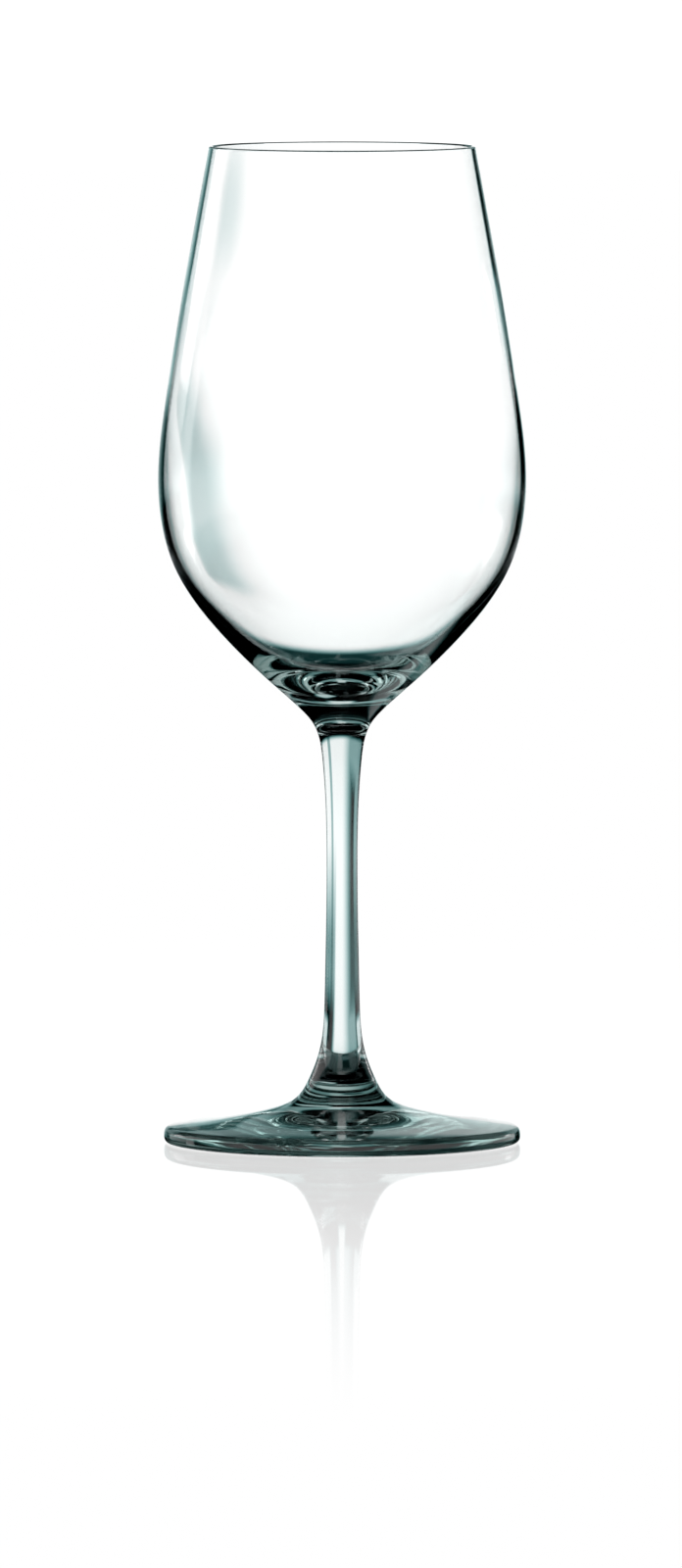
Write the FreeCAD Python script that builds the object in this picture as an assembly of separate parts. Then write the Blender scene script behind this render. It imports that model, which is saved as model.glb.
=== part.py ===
import FreeCAD, Part
import os

# A stemmed wine glass: a tulip bowl, a solid stem and a round foot, three pieces of glass melted
# together end to end. Millimetres. The origin is on the table under the middle of the foot, and
# +Z is up, along the axis that every piece is turned about.

# Heights above the table and outer radii that drive the shape, each pair as (radius, height).
GLASS_HEIGHT = 225.0
LIP_RADIUS = 30.1
SHOULDER = (35.7, 193.5)
UPPER_BELLY = (39.45, 170.0)
BELLY = (41.5, 151.2)
LOWER_BOWL = (37.6, 129.7)
BOWL_UNDERSIDE = (28.5, 116.4)
HEEL = (15.05, 103.1)
STEM_WAIST = (3.48, 64.0)
FOOT_RADIUS = 40.25

# Where the pieces are melted together: flat discs square to the axis.
BOWL_WELD = (6.5, 94.7)
FOOT_WELD = (7.45, 14.5)

# The flares between the heel, the stem's waist and the foot's cone.
HEEL_END = (9.45, 98.1)
UPPER_FLARE = (4.4, 86.5)
LOWER_STEM = (3.95, 33.0)
LOWER_FLARE = (5.2, 20.5)
FOOT_FLARE = (9.95, 10.5)

# Glass thickness, square to the outside: thin at the lip, thicker down to the solid heel.
LIP_WALL = 1.0
SHOULDER_WALL = 1.1
BELLY_WALL = 1.3
LOWER_WALL = 1.5
UNDERSIDE_WALL = 2.2
BOWL_FLOOR_HEIGHT = 103.5

# The foot: a low cone on top, a thick rounded edge, a flat ring that it stands on and a shallow
# hollow underneath.
CONE_TOP = (17.0, 7.3)
CONE_MIDDLE = (28.0, 5.2)
CONE_END = (38.6, 3.8)
EDGE_HEIGHT = 1.8
RING_OUTER_RADIUS = 38.6
RING_INNER_RADIUS = 35.0
HOLLOW_HEIGHT = 1.6

UP = FreeCAD.Vector(0, 0, 1)
OUTWARD = FreeCAD.Vector(1, 0, 0)
FULL_TURN = 360
PARTS_FOLDER = "parts"


def at(radius, height):
    """A point of a half section, in the XZ plane."""
    return FreeCAD.Vector(radius, 0, height)


LIP_OUTSIDE = (LIP_RADIUS, GLASS_HEIGHT - LIP_WALL / 2)
OUTSIDE_POINTS = [
    LIP_OUTSIDE,
    SHOULDER,
    UPPER_BELLY,
    BELLY,
    LOWER_BOWL,
    BOWL_UNDERSIDE,
    HEEL,
    HEEL_END,
    BOWL_WELD,
    UPPER_FLARE,
    STEM_WAIST,
    LOWER_STEM,
    LOWER_FLARE,
    FOOT_WELD,
    FOOT_FLARE,
    CONE_TOP,
    CONE_MIDDLE,
    CONE_END,
]


def smooth_curve(points, **ends):
    """One smooth curve through the points."""
    curve = Part.BSplineCurve()
    curve.interpolate(Points=points, **ends)
    return curve


def outside_stretch(outside, start, end):
    """The edge of the outside between two of its points."""
    return outside.toShape(outside.parameter(at(*start)), outside.parameter(at(*end)))


def behind(outside, point, thickness):
    """The point of the inside that lies one wall thickness behind a point of the outside."""
    down_the_wall = outside.tangent(outside.parameter(at(*point)))[0]
    into_the_bowl = at(down_the_wall.z, -down_the_wall.x)
    return at(*point) + into_the_bowl * thickness


def line(start, end):
    return Part.LineSegment(start, end).toShape()


def arc(start, middle, end):
    return Part.Arc(start, middle, end).toShape()


def turned(edges):
    """A solid of revolution about the glass's axis from the edges of its half section."""
    half_section = Part.Face(Part.Wire(edges))
    return half_section.revolve(at(0, 0), UP, FULL_TURN)


def bowl(outside):
    """The thin-walled bowl: outside, melted round lip, inside and solid heel."""
    lip_inside = behind(outside, LIP_OUTSIDE, LIP_WALL)
    lip_top = at((LIP_RADIUS + lip_inside.x) / 2, GLASS_HEIGHT)
    floor = at(0, BOWL_FLOOR_HEIGHT)
    wall_down = outside.tangent(outside.parameter(at(*LIP_OUTSIDE)))[0]
    inside_points = [
        lip_inside,
        behind(outside, SHOULDER, SHOULDER_WALL),
        behind(outside, BELLY, BELLY_WALL),
        behind(outside, LOWER_BOWL, LOWER_WALL),
        behind(outside, BOWL_UNDERSIDE, UNDERSIDE_WALL),
        floor,
    ]
    inside = smooth_curve(inside_points, InitialTangent=wall_down, FinalTangent=-OUTWARD)
    return turned([
        outside_stretch(outside, LIP_OUTSIDE, BOWL_WELD),
        line(at(*BOWL_WELD), at(0, BOWL_WELD[1])),
        line(at(0, BOWL_WELD[1]), floor),
        inside.toShape(),
        arc(lip_inside, lip_top, at(*LIP_OUTSIDE)),
    ])


def stem(outside):
    """The solid stem, waisted in the middle and flared to both welds."""
    return turned([
        outside_stretch(outside, BOWL_WELD, FOOT_WELD),
        line(at(*FOOT_WELD), at(0, FOOT_WELD[1])),
        line(at(0, FOOT_WELD[1]), at(0, BOWL_WELD[1])),
        line(at(0, BOWL_WELD[1]), at(*BOWL_WELD)),
    ])


def foot(outside):
    """The round foot: cone, rounded edge, standing ring and shallow hollow."""
    cone_end = outside.parameter(at(*CONE_END))
    edge_points = [at(*CONE_END), at(FOOT_RADIUS, EDGE_HEIGHT), at(RING_OUTER_RADIUS, 0)]
    edge = smooth_curve(edge_points, InitialTangent=outside.tangent(cone_end)[0], FinalTangent=-OUTWARD)
    hollow_top = at(0, HOLLOW_HEIGHT)
    ring_inside = at(RING_INNER_RADIUS, 0)
    hollow_outside = at(-RING_INNER_RADIUS, 0)
    hollow = Part.Circle(hollow_outside, hollow_top, ring_inside)
    hollow_start = hollow.parameter(ring_inside)
    hollow_end = hollow.parameter(hollow_top)
    return turned([
        outside_stretch(outside, FOOT_WELD, CONE_END),
        edge.toShape(),
        line(at(RING_OUTER_RADIUS, 0), ring_inside),
        hollow.toShape(min(hollow_start, hollow_end), max(hollow_start, hollow_end)),
        line(hollow_top, at(0, FOOT_WELD[1])),
        line(at(0, FOOT_WELD[1]), at(*FOOT_WELD)),
    ])


def main():
    os.makedirs(PARTS_FOLDER, exist_ok=True)
    outside = smooth_curve([at(*point) for point in OUTSIDE_POINTS])
    pieces = {"bowl": bowl(outside), "stem": stem(outside), "foot": foot(outside)}
    for name, solid in pieces.items():
        solid.exportStep(f"{PARTS_FOLDER}/{name}.step")


main()
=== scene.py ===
import math
from collections import namedtuple

import bpy
import numpy as np
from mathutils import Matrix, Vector


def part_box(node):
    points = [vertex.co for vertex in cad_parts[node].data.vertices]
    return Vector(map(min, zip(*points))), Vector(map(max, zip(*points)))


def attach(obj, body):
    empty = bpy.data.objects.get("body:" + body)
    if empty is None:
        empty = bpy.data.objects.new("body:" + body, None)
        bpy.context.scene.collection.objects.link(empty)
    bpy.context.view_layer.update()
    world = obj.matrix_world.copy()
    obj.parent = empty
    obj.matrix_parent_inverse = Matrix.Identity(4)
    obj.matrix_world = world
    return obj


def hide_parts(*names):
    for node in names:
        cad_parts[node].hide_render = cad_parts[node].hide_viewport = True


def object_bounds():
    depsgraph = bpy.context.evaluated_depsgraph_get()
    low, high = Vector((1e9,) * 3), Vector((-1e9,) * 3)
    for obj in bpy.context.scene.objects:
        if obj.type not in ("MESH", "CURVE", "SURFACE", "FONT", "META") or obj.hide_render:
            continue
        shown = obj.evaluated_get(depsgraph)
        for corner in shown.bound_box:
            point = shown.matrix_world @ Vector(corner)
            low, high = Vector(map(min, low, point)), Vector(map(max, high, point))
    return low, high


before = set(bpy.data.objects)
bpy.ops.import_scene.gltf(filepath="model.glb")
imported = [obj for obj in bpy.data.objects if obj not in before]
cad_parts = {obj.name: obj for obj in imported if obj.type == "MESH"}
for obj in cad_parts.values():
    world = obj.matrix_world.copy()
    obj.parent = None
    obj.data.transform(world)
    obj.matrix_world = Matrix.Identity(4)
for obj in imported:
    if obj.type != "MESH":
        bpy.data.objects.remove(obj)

MM = 0.001
CAD_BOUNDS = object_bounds()

# Camera: far away with a long lens, a little above the lip.
CAMERA_DISTANCE = 4100 * MM
CAMERA_HEIGHT = 370 * MM
CAMERA_AIM_HEIGHT = 81.05 * MM
CAMERA_SIDE_STEP = -0.25 * MM
FRAME_HEIGHT = 353.8 * MM
SENSOR_SIZE = 36.0

# Lathe: how finely the turned glass is cut.
TURN_STEPS = 256
LONGEST_STEP = 1.5 * MM
LARGEST_TURN = math.radians(3.0)
SPLINE_DENSITY = 40
SPARE_POINTS = 4
CUBIC_POINTS = 4
# The CAD mesh has shorter steps than this on its small arcs, and longer ones elsewhere.
ARC_STEP = 0.6 * MM
# The stem ends this far short of the bowl and the foot, so that no two weld discs share a plane.
WELD_GAP = 0.01 * MM
ON_AXIS = 1e-6
ON_FLOOR = 1e-6
ON_SEAM = 1e-7
PLACE_DIGITS = 8

# Glass: its tint per metre of thickness, its flame-polished waves and its scuffed standing ring.
GLASS_IOR = 1.52
GLASS_TINT = (0.0, 0.25, 0.22, 1)
TINT_DENSITY = 24
POLISH_STRETCH = (1.0, 1.0, 0.4)
POLISH_WAVES = 90
POLISH_DETAIL = 1.0
POLISH_STRENGTH = 0.5
POLISH_DEPTH = 0.02 * MM
SCUFF_HEIGHT = 0.3 * MM
SCUFF_ROUGHNESS = 0.35
SCUFF_GRAIN = 700
SCUFF_DETAIL = 3.0

# Table top: white, with a faint gloss that fades with the distance from the glass.
TABLE_REACH = 6.0
TABLE_GAP = 0.05 * MM
TABLE_FADE_END = 0.62
TABLE_POLISH = 0.55
TABLE_ROUGHNESS = 0.03

# Light: a white room with soft-edged panels and dark cards. Sides are azimuths and ends are elevations,
# in degrees, each with the width of its blur outside it. Azimuth 0 is +X, to the right, 90 is behind the
# glass and -90 is the camera's side. A card's level is the share of the light that it takes away.
Panel = namedtuple("Panel", "sides side_blurs ends end_blurs level")
WHITE = 1.15
TINT_CURVE = 0.5

# Seen straight through the bowl: a white wall with dark cards behind it low on the left, low on the right
# and lowest in the middle, and two faint cards just left of the middle, which shade the bowl's left side.
BOWL_WALL = Panel((-200, 200), (1, 1), (-32, 50), (10, 10), 1.36)
BOWL_CARDS = [
    Panel((104, 124), (6, 6), (-60, -6), (5, 4), 0.97),
    Panel((50, 76), (6, 6), (-60, -6), (5, 4), 0.97),
    Panel((70, 110), (8, 8), (-60, -24), (5, 7), 0.97),
    Panel((92.6, 94.2), (1.8, 0.6), (-8.5, -5), (2.5, 5), 0.33),
    Panel((92.8, 93.8), (1, 0.6), (-10, 30), (3, 5), 0.14),
]

# Seen straight through the stem and the foot: a wide panel behind and to the right, a dim one behind and to
# the left, one on the camera's side, a low one all round except behind, a tall one straight behind, and two
# dim ones that soften the dark gap left of it. A card draws a grey line in the first panel.
STEM_PANELS = [
    Panel((24, 87), (6, 30), (-3, 12), (5, 10), WHITE),
    Panel((130, 146), (6, 4), (-3, 12), (5, 10), 0.4),
    Panel((-165, -14), (6, 6), (-3, 12), (5, 10), WHITE),
    Panel((134, 406), (6, 6), (-40, -12), (5, 4), 0.9),
    Panel((76, 88), (10, 30), (-22, 12), (8, 10), WHITE),
    Panel((100, 132), (8, 8), (3, 12), (4, 8), 0.45),
    Panel((100, 122), (8, 8), (-22, -9), (8, 4), 0.45),
]
STEM_CARD = Panel((59, 64), (3, 3), (-60, 60), (5, 5), 0.55)

# Seen by mirroring on or inside the glass: two panels straight behind, a low one behind and to the right, a
# wide dim high one, a narrow high one, one to the right, a lamp on each side, three to the left, and one on
# the camera's side. A card darkens a patch of the foot.
MIRROR_PANELS = [
    Panel((86, 93), (4, 4), (-14, 4), (6, 5), WHITE),
    Panel((84, 94), (10, 26), (-3, 4), (3, 4), 0.8),
    Panel((52, 76), (6, 6), (-52, -38), (8, 8), 0.9),
    Panel((-10, 116), (10, 6), (6, 16), (4, 8), 0.5),
    Panel((84, 89), (4, 2), (6, 16), (4, 8), 0.85),
    Panel((-20, 58), (20, 6), (-3, 8), (4, 6), 1.1),
    Panel((45, 51), (3, 5), (7, 12), (2, 3), 3.4),
    Panel((130, 144), (4, 4), (5, 16), (3, 3), 2.2),
    Panel((122, 148), (5, 4), (-3, 8), (3, 8), 0.85),
    Panel((149, 157), (2, 2), (-10, 14), (10, 8), WHITE),
    Panel((140, 205), (5, 10), (11, 26), (6, 6), WHITE),
    Panel((-160, -20), (30, 10), (-4, 12), (8, 12), WHITE),
]
MIRROR_CARD = Panel((91.5, 100), (0.8, 5), (9.6, 12.4), (1.6, 1.6), 0.85)

# What a ray has done before it reaches the room. Its depth there is one more than its bounces, so a
# difference of 2 or more between depth and crossings of glass surfaces means that it was mirrored. A ray
# straight through the bowl crosses four surfaces, and one straight through the stem or the foot two.
UNMIRRORED_DEPTH = 1.5
STEM_CROSSINGS = 3.5
NO_CROSSING = 0.5

# Rays bounce often inside thick glass.
GLASS_BOUNCES = 24
MIRROR_BOUNCES = 12


# ---------------------------------------------------------------- shapes

def seam_points(node):
    """The half section of a CAD node, read off its seam in the XZ plane, in order from end to end."""
    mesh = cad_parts[node].data
    places = {}
    for vertex in mesh.vertices:
        radius, side, height = vertex.co
        if abs(side) < ON_SEAM and radius > -ON_SEAM:
            places[vertex.index] = (round(radius, PLACE_DIGITS), round(height, PLACE_DIGITS))
    neighbours = {}
    for edge in mesh.edges:
        first, last = (places.get(index) for index in edge.vertices)
        if first and last and first != last:
            neighbours.setdefault(first, set()).add(last)
            neighbours.setdefault(last, set()).add(first)
    ends = [place for place, near in neighbours.items() if len(near) == 1]
    chain = [min(ends)]
    while len(chain) < len(neighbours):
        onward = [place for place in neighbours[chain[-1]] if place not in chain[-2:]]
        if not onward:
            break
        chain.append(onward[0])
    return np.array(chain)


def smooth_curve(points):
    """A cubic spline through the points; its first two spans are one cubic, and so are its last two."""
    steps = np.linalg.norm(np.diff(points, axis=0), axis=1)
    count = len(points)
    if count < CUBIC_POINTS:
        return np.linspace(points[0], points[-1], SPLINE_DENSITY)
    matrix = np.zeros((count, count))
    right = np.zeros((count, 2))
    for i in range(1, count - 1):
        matrix[i, i - 1:i + 2] = steps[i - 1], 2 * (steps[i - 1] + steps[i]), steps[i]
        before = (points[i] - points[i - 1]) / steps[i - 1]
        after = (points[i + 1] - points[i]) / steps[i]
        right[i] = 6 * (after - before)
    matrix[0, :3] = -steps[1], steps[0] + steps[1], -steps[0]
    matrix[-1, -3:] = -steps[-1], steps[-2] + steps[-1], -steps[-2]
    bend = np.linalg.solve(matrix, right)
    curve = []
    for i, step in enumerate(steps):
        for share in np.arange(SPLINE_DENSITY) / SPLINE_DENSITY:
            left = 1 - share
            straight = left * points[i] + share * points[i + 1]
            bowed = (left**3 - left) * bend[i] + (share**3 - share) * bend[i + 1]
            curve.append(straight + bowed * step * step / 6)
    curve.append(points[-1])
    return np.array(curve)


def on_axis(point):
    """Whether a point of the half section lies on the glass's axis."""
    return abs(point[0]) < ON_AXIS


def through_axis(points):
    """A smooth curve from the axis outwards, level where it crosses the axis."""
    spare = min(SPARE_POINTS, len(points) - 1)
    other_side = points[spare:0:-1] * (-1, 1)
    return smooth_curve(np.vstack([other_side, points]))[spare * SPLINE_DENSITY:]


def section_curves():
    """The half section as smooth curves, from the bowl's floor over the lip to the foot's hollow."""
    bowl, stem, foot = (seam_points(node) for node in ("bowl", "stem", "foot"))
    if on_axis(foot[0]):
        foot = foot[::-1]
    points = np.vstack([bowl, stem[1:], foot[1:]])
    steps = np.linalg.norm(np.diff(points, axis=0), axis=1)
    joints = [0]
    for i in range(1, len(points) - 1):
        arc_starts_or_ends = (steps[i - 1] < ARC_STEP) != (steps[i] < ARC_STEP)
        if arc_starts_or_ends or points[i][1] < ON_FLOOR:
            joints.append(i)
    joints.append(len(points) - 1)
    runs = [points[start:end + 1] for start, end in zip(joints, joints[1:])]
    middle = [smooth_curve(run) for run in runs[1:-1]]
    return [through_axis(runs[0]), *middle, through_axis(runs[-1][::-1])[::-1]]


def piece_curves():
    """The smooth curves that bound each piece of the glass."""
    inside, lip, outside, edge, ring, hollow = section_curves()
    weld_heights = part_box("bowl")[0].z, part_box("foot")[1].z
    upper, lower = (int(np.argmin(abs(outside[:, 1] - height))) for height in weld_heights)
    return {
        "bowl": [inside, lip, outside[:upper + 1]],
        "stem": [outside[upper:lower + 1]],
        "foot": [outside[lower:], edge, ring, hollow],
    }


def thinned(curve):
    """Points and outward normals along the curve, closer together where it bends."""
    along = np.diff(curve, axis=0)
    heading = np.unwrap(np.arctan2(along[:, 1], along[:, 0]))
    # The heading at a point is halfway between those of its two steps, and is carried on to the ends.
    first = 1.5 * heading[0] - 0.5 * heading[1]
    last = 1.5 * heading[-1] - 0.5 * heading[-2]
    at_points = np.concatenate([[first], (heading[:-1] + heading[1:]) / 2, [last]])
    kept = [0]
    for i in range(1, len(curve) - 1):
        length = np.linalg.norm(curve[i + 1] - curve[kept[-1]])
        turn = abs(at_points[i + 1] - at_points[kept[-1]])
        if length > LONGEST_STEP or turn > LARGEST_TURN:
            kept.append(i)
    kept.append(len(curve) - 1)
    normals = np.column_stack([-np.sin(at_points), np.cos(at_points)])
    return curve[kept], normals[kept]


def turned_piece(name, curves):
    """A closed piece turned about the axis from its half section's curves, with flat discs at its welds."""
    vertices, faces, normals, discs = [], [], [], set()
    angles = np.arange(TURN_STEPS) * 2 * math.pi / TURN_STEPS
    cosines, sines = np.cos(angles), np.sin(angles)

    def add_ring(radius, height):
        start = len(vertices)
        if radius < ON_AXIS:
            vertices.append((0, 0, height))
            return [start] * TURN_STEPS
        vertices.extend(zip(radius * cosines, radius * sines, [height] * TURN_STEPS))
        return list(range(start, start + TURN_STEPS))

    def add_band(upper, lower, upper_normal, lower_normal):
        for j in range(TURN_STEPS):
            k = (j + 1) % TURN_STEPS
            corners = [(upper[j], j, upper_normal), (lower[j], j, lower_normal)]
            if lower[j] != lower[k]:
                corners.append((lower[k], k, lower_normal))
            if upper[j] != upper[k]:
                corners.append((upper[k], k, upper_normal))
            faces.append([vertex for vertex, _, _ in corners])
            for _, turn, (outward, upward) in corners:
                normals.append((outward * cosines[turn], outward * sines[turn], upward))

    def add_disc(ring, side):
        if len(set(ring)) > 1:
            discs.add(len(faces))
            faces.append(ring[::side])
            normals.extend([(0, 0, side)] * TURN_STEPS)

    top_ring = ring = add_ring(*curves[0][0])
    for curve in curves:
        points, directions = thinned(curve)
        for i in range(1, len(points)):
            next_ring = add_ring(*points[i])
            add_band(ring, next_ring, directions[i - 1], directions[i])
            ring = next_ring
    add_disc(top_ring, 1)
    add_disc(ring, -1)
    mesh = bpy.data.meshes.new(name)
    mesh.from_pydata(vertices, [], faces)
    for index, polygon in enumerate(mesh.polygons):
        polygon.use_smooth = index not in discs
        polygon.material_index = int(index in discs)
    mesh.normals_split_custom_set(normals)
    piece = bpy.data.objects.new(name, mesh)
    bpy.context.scene.collection.objects.link(piece)
    return piece


# ---------------------------------------------------------------- materials

def new_material(name):
    """An empty node material, with its nodes and links."""
    material = bpy.data.materials.new(name)
    material.use_nodes = True
    material.node_tree.nodes.clear()
    return material, material.node_tree.nodes, material.node_tree.links


def noise(nodes, links, place, scale, detail):
    """Noise from 0 to 1, with about so many blots to the metre."""
    texture = nodes.new("ShaderNodeTexNoise")
    texture.inputs["Scale"].default_value = scale
    texture.inputs["Detail"].default_value = detail
    links.new(place, texture.inputs["Vector"])
    return texture.outputs["Fac"]


def fire_polish(nodes, links, place):
    """The faint waves that flame polishing leaves: longer up the glass than around it."""
    stretched = nodes.new("ShaderNodeMapping")
    stretched.inputs["Scale"].default_value = POLISH_STRETCH
    links.new(place, stretched.inputs["Vector"])
    bump = nodes.new("ShaderNodeBump")
    bump.inputs["Strength"].default_value = POLISH_STRENGTH
    bump.inputs["Distance"].default_value = POLISH_DEPTH
    waves = noise(nodes, links, stretched.outputs[0], POLISH_WAVES, POLISH_DETAIL)
    links.new(waves, bump.inputs["Height"])
    return bump.outputs["Normal"]


def scuffs(nodes, links, place):
    """Roughness: none, but for fine scuffed patches where the foot stands on the table."""
    parts = nodes.new("ShaderNodeSeparateXYZ")
    links.new(place, parts.inputs[0])
    contact = nodes.new("ShaderNodeMapRange")
    contact.inputs["From Min"].default_value = SCUFF_HEIGHT
    contact.inputs["From Max"].default_value = 0.0
    contact.inputs["To Max"].default_value = SCUFF_ROUGHNESS
    links.new(parts.outputs["Z"], contact.inputs["Value"])
    patches = nodes.new("ShaderNodeMath")
    patches.operation = "MULTIPLY"
    links.new(contact.outputs[0], patches.inputs[0])
    links.new(noise(nodes, links, place, SCUFF_GRAIN, SCUFF_DETAIL), patches.inputs[1])
    return patches.outputs[0]


def glass(name):
    """Clear glass, faintly blue-green through its thickness."""
    material, nodes, links = new_material(name)
    output = nodes.new("ShaderNodeOutputMaterial")
    place = nodes.new("ShaderNodeTexCoord").outputs["Object"]
    surface = nodes.new("ShaderNodeBsdfPrincipled")
    surface.inputs["Base Color"].default_value = (1, 1, 1, 1)
    surface.inputs["Transmission Weight"].default_value = 1
    surface.inputs["IOR"].default_value = GLASS_IOR
    links.new(scuffs(nodes, links, place), surface.inputs["Roughness"])
    links.new(fire_polish(nodes, links, place), surface.inputs["Normal"])
    volume = nodes.new("ShaderNodeVolumeAbsorption")
    volume.inputs["Color"].default_value = GLASS_TINT
    volume.inputs["Density"].default_value = TINT_DENSITY
    links.new(surface.outputs[0], output.inputs["Surface"])
    links.new(volume.outputs[0], output.inputs["Volume"])
    return material


def weld(name):
    """Where two pieces are melted together there is no surface to see."""
    material, nodes, links = new_material(name)
    output = nodes.new("ShaderNodeOutputMaterial")
    clear = nodes.new("ShaderNodeBsdfTransparent")
    links.new(clear.outputs[0], output.inputs["Surface"])
    return material


# ---------------------------------------------------------------- the glass

GLASS = glass("clear_glass")
WELD = weld("melted_weld")
for NODE, CURVES in piece_curves().items():
    if NODE == "stem":
        CURVES[0][0, 1] -= WELD_GAP
        CURVES[-1][-1, 1] += WELD_GAP
    PIECE = turned_piece("turned_" + NODE, CURVES)
    PIECE.data.materials.append(GLASS)
    PIECE.data.materials.append(WELD)
    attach(PIECE, "root")
    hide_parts(NODE)

# ---------------------------------------------------------------- floor, lights, camera

def math_node(tree, operation, *values):
    """One Math node fed by sockets or numbers."""
    node = tree.nodes.new("ShaderNodeMath")
    node.operation = operation
    for socket, value in zip(node.inputs, values):
        if isinstance(value, bpy.types.NodeSocket):
            tree.links.new(value, socket)
        else:
            socket.default_value = value
    return node.outputs[0]


def fade(tree, value, start, end):
    """0 up to the start, 1 from the end on, smooth between; the start may be the larger."""
    node = tree.nodes.new("ShaderNodeMapRange")
    node.interpolation_type = "SMOOTHSTEP"
    tree.links.new(value, node.inputs["Value"])
    node.inputs["From Min"].default_value = start
    node.inputs["From Max"].default_value = end
    return node.outputs[0]


def product(tree, *factors):
    """Sockets or numbers multiplied together."""
    result = factors[0]
    for factor in factors[1:]:
        result = math_node(tree, "MULTIPLY", result, factor)
    return result


def seen(tree, direction, panel):
    """How bright the panel is in a direction: its level inside it, fading to 0 over its blurs."""
    azimuth, elevation = direction
    half = (panel.sides[1] - panel.sides[0]) / 2
    centre = (panel.sides[1] + panel.sides[0]) / 2
    across = math_node(tree, "WRAP", math_node(tree, "SUBTRACT", azimuth, centre), 180.0, -180.0)
    return product(
        tree,
        fade(tree, across, -half - panel.side_blurs[0], -half),
        fade(tree, across, half + panel.side_blurs[1], half),
        fade(tree, elevation, panel.ends[0] - panel.end_blurs[0], panel.ends[0]),
        fade(tree, elevation, panel.ends[1] + panel.end_blurs[1], panel.ends[1]),
        panel.level,
    )


def brightest(tree, *lights):
    """The largest of some sockets or numbers."""
    result = lights[0]
    for light in lights[1:]:
        result = math_node(tree, "MAXIMUM", result, light)
    return result


def lit(tree, direction, panels, cards):
    """The brightest of the panels in a direction, with the dark cards held in front of them."""
    light = brightest(tree, *(seen(tree, direction, panel) for panel in panels))
    for card in cards:
        light = product(tree, light, math_node(tree, "SUBTRACT", 1.0, seen(tree, direction, card)))
    return light


def mixed(tree, factor, first, second):
    """A plain blend of two sockets or numbers: the first at factor 0, the second at factor 1."""
    node = tree.nodes.new("ShaderNodeMix")
    sockets = node.inputs["Factor"], node.inputs["A"], node.inputs["B"]
    for socket, value in zip(sockets, (factor, first, second)):
        if isinstance(value, bpy.types.NodeSocket):
            tree.links.new(value, socket)
        else:
            socket.default_value = value
    return node.outputs["Result"]


def studio():
    """The white room. Rays through the bowl, through the stem and mirrored ones see different panels."""
    world = bpy.data.worlds.new("studio")
    world.use_nodes = True
    tree = world.node_tree
    background = tree.nodes["Background"]
    place = tree.nodes.new("ShaderNodeTexCoord").outputs["Generated"]
    parts = tree.nodes.new("ShaderNodeSeparateXYZ")
    tree.links.new(place, parts.inputs[0])
    x, y, z = parts.outputs
    azimuth = math_node(tree, "DEGREES", math_node(tree, "ARCTAN2", y, x))
    elevation = math_node(tree, "DEGREES", math_node(tree, "ARCSINE", z))
    direction = azimuth, elevation

    ray = tree.nodes.new("ShaderNodeLightPath").outputs
    depth, crossings = ray["Ray Depth"], ray["Transmission Depth"]
    mirrorings = math_node(tree, "SUBTRACT", depth, crossings)
    mirrored_ray = math_node(tree, "GREATER_THAN", mirrorings, UNMIRRORED_DEPTH)
    through_bowl = math_node(tree, "GREATER_THAN", crossings, STEM_CROSSINGS)
    past_the_glass = math_node(tree, "LESS_THAN", crossings, NO_CROSSING)
    from_table = product(tree, past_the_glass, math_node(tree, "SUBTRACT", 1.0, ray["Is Singular Ray"]))
    open_view = brightest(tree, ray["Is Camera Ray"], from_table)

    behind_bowl = lit(tree, direction, [BOWL_WALL], BOWL_CARDS)
    behind_stem = lit(tree, direction, STEM_PANELS, [STEM_CARD])
    mirrored = lit(tree, direction, MIRROR_PANELS, [MIRROR_CARD])
    through = mixed(tree, through_bowl, behind_stem, behind_bowl)
    light = mixed(tree, mirrored_ray, through, mirrored)
    level = mixed(tree, open_view, light, WHITE)

    # Dim light is blue-green, and white light is white.
    shade = math_node(tree, "MINIMUM", math_node(tree, "DIVIDE", level, WHITE), 1.0)
    red = product(tree, level, math_node(tree, "POWER", shade, TINT_CURVE))
    colour = tree.nodes.new("ShaderNodeCombineColor")
    for socket, value in zip(colour.inputs, (red, level, level)):
        tree.links.new(value, socket)
    tree.links.new(colour.outputs[0], background.inputs["Color"])
    return world


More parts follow.
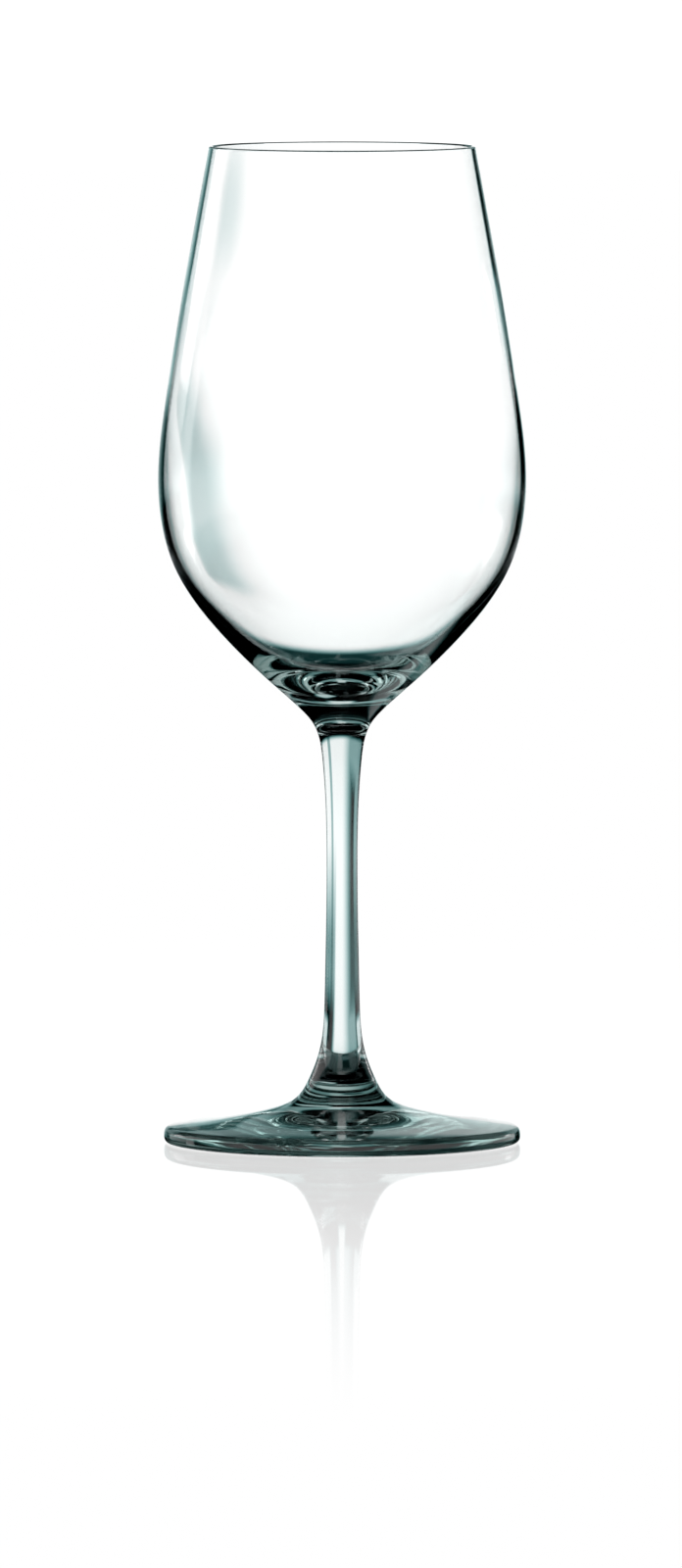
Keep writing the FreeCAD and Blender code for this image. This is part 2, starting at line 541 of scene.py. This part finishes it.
def table():
    """A plain white table top that mirrors the glass faintly, and less with distance from it."""
    material, nodes, links = new_material("table_top")
    tree = material.node_tree
    output = nodes.new("ShaderNodeOutputMaterial")
    place = nodes.new("ShaderNodeTexCoord").outputs["Object"]
    distance = nodes.new("ShaderNodeVectorMath")
    distance.operation = "LENGTH"
    links.new(place, distance.inputs[0])
    pale = nodes.new("ShaderNodeEmission")
    pale.inputs["Color"].default_value = (1, 1, 1, 1)
    polish = nodes.new("ShaderNodeBsdfGlossy")
    polish.inputs["Color"].default_value = (1, 1, 1, 1)
    polish.inputs["Roughness"].default_value = TABLE_ROUGHNESS
    blend = nodes.new("ShaderNodeMixShader")
    grazing = nodes.new("ShaderNodeFresnel").outputs[0]
    nearness = fade(tree, distance.outputs["Value"], TABLE_FADE_END, 0.0)
    strength = product(tree, nearness, grazing, TABLE_POLISH)
    links.new(strength, blend.inputs[0])
    links.new(pale.outputs[0], blend.inputs[1])
    links.new(polish.outputs[0], blend.inputs[2])
    links.new(blend.outputs[0], output.inputs["Surface"])
    mesh = bpy.data.meshes.new("table_top")
    corners = [(-1, -1), (1, -1), (1, 1), (-1, 1)]
    vertices = [(TABLE_REACH * x, TABLE_REACH * y, 0) for x, y in corners]
    mesh.from_pydata(vertices, [], [(0, 1, 2, 3)])
    mesh.materials.append(material)
    top = bpy.data.objects.new("table_top", mesh)
    bpy.context.scene.collection.objects.link(top)
    top.location.z = CAD_BOUNDS[0].z - TABLE_GAP
    top.visible_transmission = False
    top.visible_glossy = False
    top.visible_diffuse = False
    top.visible_shadow = False
    return top


bpy.context.scene.world = studio()
table()

CAMERA = bpy.data.objects.new("camera", bpy.data.cameras.new("camera"))
bpy.context.scene.collection.objects.link(CAMERA)
CAMERA.location = (CAMERA_SIDE_STEP, -CAMERA_DISTANCE, CAMERA_HEIGHT)
AIM = Vector((CAMERA_SIDE_STEP, 0, CAMERA_AIM_HEIGHT))
SIGHT = AIM - CAMERA.location
CAMERA.rotation_euler = SIGHT.to_track_quat("-Z", "Y").to_euler()
CAMERA.data.sensor_width = SENSOR_SIZE
CAMERA.data.lens = SENSOR_SIZE * SIGHT.length / FRAME_HEIGHT
bpy.context.scene.camera = CAMERA
bpy.context.scene.view_settings.view_transform = "Standard"

# The guides of the denoiser are as noisy as the picture inside glass, so it works from colour alone.
RAYS = bpy.context.scene.cycles
RAYS.max_bounces = GLASS_BOUNCES
RAYS.transmission_bounces = GLASS_BOUNCES
RAYS.transparent_max_bounces = GLASS_BOUNCES
RAYS.glossy_bounces = MIRROR_BOUNCES
RAYS.blur_glossy = 0
RAYS.use_adaptive_sampling = False
RAYS.denoising_input_passes = "RGB"
